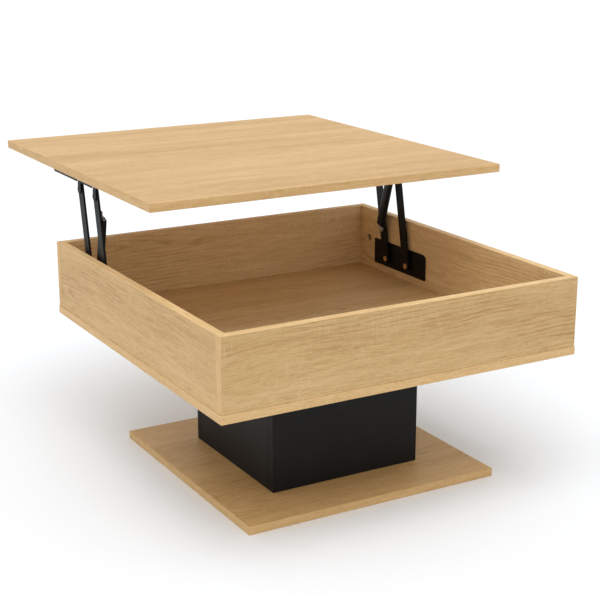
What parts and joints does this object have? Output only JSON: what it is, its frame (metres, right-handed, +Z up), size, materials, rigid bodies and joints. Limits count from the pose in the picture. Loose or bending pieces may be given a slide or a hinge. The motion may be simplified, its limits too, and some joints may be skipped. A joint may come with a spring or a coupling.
{
  "type": "lift top coffee table",
  "caption": "Square coffee table whose top rises and moves out on two parallel-arm lift mechanisms over a storage tray, on a square column and base.",
  "frame": {"origin": "on the floor, at the middle of the base board's underside, under the column", "axes": "+X along the wide front board towards the right-hand mechanism, +Y towards the side the raised top moves out to, +Z up; the rest pose has the top raised"},
  "size_m": [0.7, 0.936, 0.544],
  "materials": {
    "oak_board": "light oak decor on laminated board, satin, with matching edge bands",
    "black_board": "matt black laminated board",
    "black_steel": "satin black powder coat on steel sheet",
    "rivet_bronze": "bronze plated rivets",
    "zinc": "zinc plated",
    "spring_steel": "bright drawn spring wire",
    "black_sheath": "black plastic sheath"
  },
  "bodies": {
    "frame": {"base_board": "oak_board", "column_front": "black_board", "column_back": "black_board", "column_left": "black_board", "column_right": "black_board", "base_screw_front": "zinc", "base_screw_back": "zinc", "base_screw_left": "zinc", "base_screw_right": "zinc", "tray_floor": "oak_board", "tray_front": "oak_board", "tray_back": "oak_board", "tray_left": "oak_board", "tray_right": "oak_board", "left_mounting_plate": "black_steel", "left_front_lower_rivet": "rivet_bronze", "left_rear_lower_rivet": "rivet_bronze", "left_plate_screw_1": "black_steel", "left_plate_screw_2": "black_steel", "left_plate_screw_3": "black_steel", "cam_left_front": "zinc", "cam_left_back": "zinc", "cam_bolt_left_front": "zinc", "cam_bolt_left_back": "zinc", "right_mounting_plate": "black_steel", "right_front_lower_rivet": "rivet_bronze", "right_rear_lower_rivet": "rivet_bronze", "right_plate_screw_1": "black_steel", "right_plate_screw_2": "black_steel", "right_plate_screw_3": "black_steel", "cam_right_front": "zinc", "cam_right_back": "zinc", "cam_bolt_right_front": "zinc", "cam_bolt_right_back": "zinc"},
    "right_rear_arm": {"right_rear_arm": "black_steel", "right_spring_pin": "zinc"},
    "right_front_arm": {"right_front_arm": "black_steel"},
    "left_rear_arm": {"left_rear_arm": "black_steel"},
    "left_front_arm": {"left_front_arm": "black_steel", "left_spring_pin": "zinc"},
    "top": {"tabletop": "oak_board", "left_top_rail": "black_steel", "left_front_upper_rivet": "rivet_bronze", "left_rear_upper_rivet": "rivet_bronze", "left_rail_screw_1": "black_steel", "left_rail_screw_2": "black_steel", "left_rail_screw_3": "black_steel", "right_top_rail": "black_steel", "right_front_upper_rivet": "rivet_bronze", "right_rear_upper_rivet": "rivet_bronze", "right_rail_screw_1": "black_steel", "right_rail_screw_2": "black_steel", "right_rail_screw_3": "black_steel"},
    "right_sleeve": {"right_spring_sleeve": "black_sheath"},
    "right_spring": {"right_tension_spring": "spring_steel"},
    "left_sleeve": {"left_spring_sleeve": "black_sheath"},
    "left_spring": {"left_tension_spring": "spring_steel"}
  },
  "joints": [
    {"name": "right_rear_arm_lift", "type": "hinge", "parent": "frame", "child": "right_rear_arm", "pos_m": [0.3224, 0.2202, 0.295], "axis": [1, 0, 0], "range_deg": [0, 84.05]},
    {"name": "right_front_arm_lift", "type": "hinge", "parent": "frame", "child": "right_front_arm", "pos_m": [0.3224, 0.147, 0.295], "axis": [1, 0, 0], "range_deg": [0, 84.05]},
    {"name": "left_rear_arm_lift", "type": "hinge", "parent": "frame", "child": "left_rear_arm", "pos_m": [-0.3224, 0.2202, 0.295], "axis": [1, 0, 0], "range_deg": [0, 84.05]},
    {"name": "left_front_arm_lift", "type": "hinge", "parent": "frame", "child": "left_front_arm", "pos_m": [-0.3224, 0.147, 0.295], "axis": [1, 0, 0], "range_deg": [0, 84.05]},
    {"name": "top_carry", "type": "hinge", "parent": "right_rear_arm", "child": "top", "pos_m": [0.3224, 0.26169, 0.49892], "axis": [1, 0, 0], "range_deg": [-84.05, 0]},
    {"name": "right_sleeve_swing", "type": "hinge", "parent": "top", "child": "right_sleeve", "pos_m": [0.3132, 0.18849, 0.49892], "axis": [1, 0, 0], "range_deg": [0, 61.18]},
    {"name": "right_spring_draw", "type": "slide", "parent": "right_sleeve", "child": "right_spring", "axis": [0, 0.2955, -0.9553], "range_m": [0, 0.0673]},
    {"name": "left_sleeve_swing", "type": "hinge", "parent": "frame", "child": "left_sleeve", "pos_m": [-0.3132, 0.2202, 0.295], "axis": [1, 0, 0], "range_deg": [0, 65.3]},
    {"name": "left_spring_draw", "type": "slide", "parent": "left_sleeve", "child": "left_spring", "axis": [0, -0.2138, 0.9769], "range_m": [0, 0.07035]}
  ],
  "couplings": [
    {"joint": "right_front_arm_lift", "follows": "right_rear_arm_lift", "ratio": 1},
    {"joint": "left_rear_arm_lift", "follows": "right_rear_arm_lift", "ratio": 1},
    {"joint": "left_front_arm_lift", "follows": "right_rear_arm_lift", "ratio": 1},
    {"joint": "top_carry", "follows": "right_rear_arm_lift", "ratio": -1},
    {"joint": "right_sleeve_swing", "follows": "right_rear_arm_lift", "ratio": 0.72785},
    {"joint": "right_spring_draw", "follows": "right_rear_arm_lift", "m_per_rad": 0.045808},
    {"joint": "left_sleeve_swing", "follows": "right_rear_arm_lift", "ratio": 0.77679},
    {"joint": "left_spring_draw", "follows": "right_rear_arm_lift", "m_per_rad": 0.047893}
  ]
}
